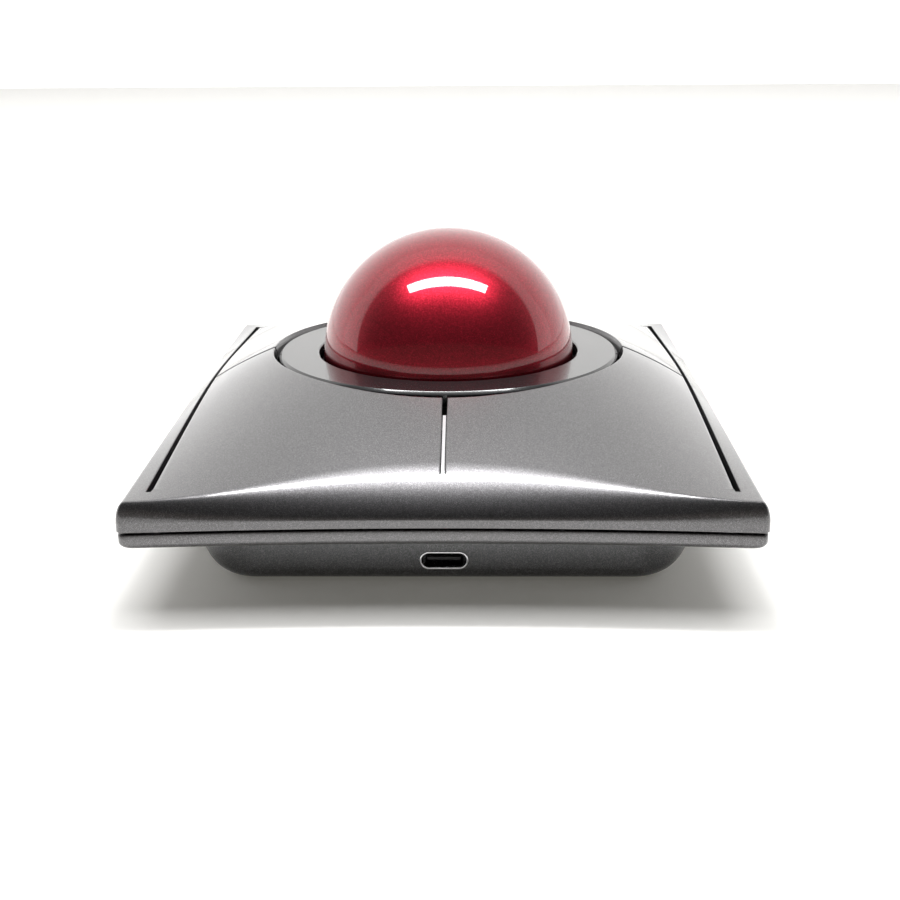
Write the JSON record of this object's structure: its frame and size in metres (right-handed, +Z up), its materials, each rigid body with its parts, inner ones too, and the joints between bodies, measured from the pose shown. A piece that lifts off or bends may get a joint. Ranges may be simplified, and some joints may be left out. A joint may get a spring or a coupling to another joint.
{
  "type": "trackball mouse",
  "caption": "Desktop trackball mouse: low domed cover with rocking button plates around a large red ball, USB-C socket in the front of an inset base.",
  "frame": {"origin": "centre of the footprint, on the desk under the feet", "axes": "+Z up, -Y towards the USB-C socket, +X to the right seen from the socket's side"},
  "size_m": [0.116, 0.1466, 0.059],
  "materials": {
    "gunmetal": "gloss metallic paint with fine flakes under a clear coat, on a moulded plastic shell",
    "ring_gloss": "smooth dark grey, high gloss",
    "ball_red": "pearlescent red under a thick clear coat",
    "base_grey": "satin metallic grey paint with fine flakes",
    "dark_plastic": "plain dark moulding",
    "ceramic": "polished ceramic bearing balls",
    "foot_black": "smooth low-friction feet",
    "board_green": "circuit board",
    "chip_black": "moulded packages and switch cases",
    "bright_steel": "bright plated steel shell",
    "cell_grey": "foil-wrapped cell",
    "lead_red": "insulated lead",
    "plunger_cream": "plungers and flat links",
    "lens_clear": "clear moulded lenses",
    "flex_amber": "flexible circuit",
    "control_grey": "light grey controls",
    "screw_steel": "plated pan-head screws"
  },
  "bodies": {
    "housing": {"top_cover": "gunmetal", "ball_ring": "ring_gloss", "ball_socket": "dark_plastic", "support_bearings": "ceramic", "lower_cover": "gunmetal", "base_shell": "base_grey", "feet": "foot_black", "main_board": "board_green", "board_chips": "chip_black", "usb_shell": "bright_steel", "usb_tongue": "chip_black", "battery": "cell_grey", "battery_lead": "lead_red", "left_switch_board": "board_green", "right_switch_board": "board_green", "microswitches": "chip_black", "board_links": "plunger_cream", "left_sensor_board": "board_green", "right_sensor_board": "board_green", "sensor_chips": "chip_black", "sensor_lenses": "lens_clear", "sensor_flexes": "flex_amber", "mode_switch_body": "dark_plastic", "pair_switch_body": "dark_plastic", "cover_screws": "screw_steel", "base_screws": "screw_steel", "socket_screws": "screw_steel", "side_board_screws": "screw_steel", "main_board_screws": "screw_steel"},
    "ball": {"ball": "ball_red"},
    "front_left_button": {"front_left_button": "gunmetal"},
    "front_right_button": {"front_right_button": "gunmetal"},
    "rear_left_button": {"rear_left_button": "gunmetal"},
    "rear_right_button": {"rear_right_button": "gunmetal"},
    "front_left_plunger": {"front_left_plunger": "plunger_cream"},
    "front_right_plunger": {"front_right_plunger": "plunger_cream"},
    "rear_left_plunger": {"rear_left_plunger": "plunger_cream"},
    "rear_right_plunger": {"rear_right_plunger": "plunger_cream"},
    "mode_slider": {"mode_slider": "control_grey"},
    "pair_button": {"pair_button": "control_grey"}
  },
  "joints": [
    {"name": "ball_roll", "type": "hinge", "parent": "housing", "child": "ball", "pos_m": [0, 0, 0.0315], "axis": [1, 0, 0], "continuous": true},
    {"name": "front_left_press", "type": "hinge", "parent": "housing", "child": "front_left_button", "pos_m": [-0.0265, -0.0666, 0.0215], "axis": [-1, 0, 0], "range_deg": [0, 0.7], "stiffness_Nm_per_rad": 2.6, "springref_deg": -0.17},
    {"name": "front_left_click", "type": "slide", "parent": "housing", "child": "front_left_plunger", "axis": [0, 0, -1], "range_m": [0, 0.00065]},
    {"name": "front_right_press", "type": "hinge", "parent": "housing", "child": "front_right_button", "pos_m": [0.0265, -0.0666, 0.0215], "axis": [-1, 0, 0], "range_deg": [0, 0.7], "stiffness_Nm_per_rad": 2.6, "springref_deg": -0.17},
    {"name": "front_right_click", "type": "slide", "parent": "housing", "child": "front_right_plunger", "axis": [0, 0, -1], "range_m": [0, 0.00065]},
    {"name": "rear_left_press", "type": "hinge", "parent": "housing", "child": "rear_left_button", "pos_m": [-0.0265, 0.0666, 0.0215], "axis": [1, 0, 0], "range_deg": [0, 0.7], "stiffness_Nm_per_rad": 2.6, "springref_deg": -0.17},
    {"name": "rear_left_click", "type": "slide", "parent": "housing", "child": "rear_left_plunger", "axis": [0, 0, -1], "range_m": [0, 0.00065]},
    {"name": "rear_right_press", "type": "hinge", "parent": "housing", "child": "rear_right_button", "pos_m": [0.0265, 0.0666, 0.0215], "axis": [1, 0, 0], "range_deg": [0, 0.7], "stiffness_Nm_per_rad": 2.6, "springref_deg": -0.17},
    {"name": "rear_right_click", "type": "slide", "parent": "housing", "child": "rear_right_plunger", "axis": [0, 0, -1], "range_m": [0, 0.00065]},
    {"name": "mode_slide", "type": "slide", "parent": "housing", "child": "mode_slider", "axis": [1, 0, 0], "range_m": [-0.002, 0.002]},
    {"name": "pair_press", "type": "slide", "parent": "housing", "child": "pair_button", "axis": [0, 0, 1], "range_m": [0, 0.0003], "stiffness_N_per_m": 3000, "springref_m": -0.00005}
  ],
  "couplings": [
    {"joint": "front_left_click", "follows": "front_left_press", "m_per_rad": 0.0506},
    {"joint": "front_right_click", "follows": "front_right_press", "m_per_rad": 0.0506},
    {"joint": "rear_left_click", "follows": "rear_left_press", "m_per_rad": 0.0506},
    {"joint": "rear_right_click", "follows": "rear_right_press", "m_per_rad": 0.0506}
  ]
}
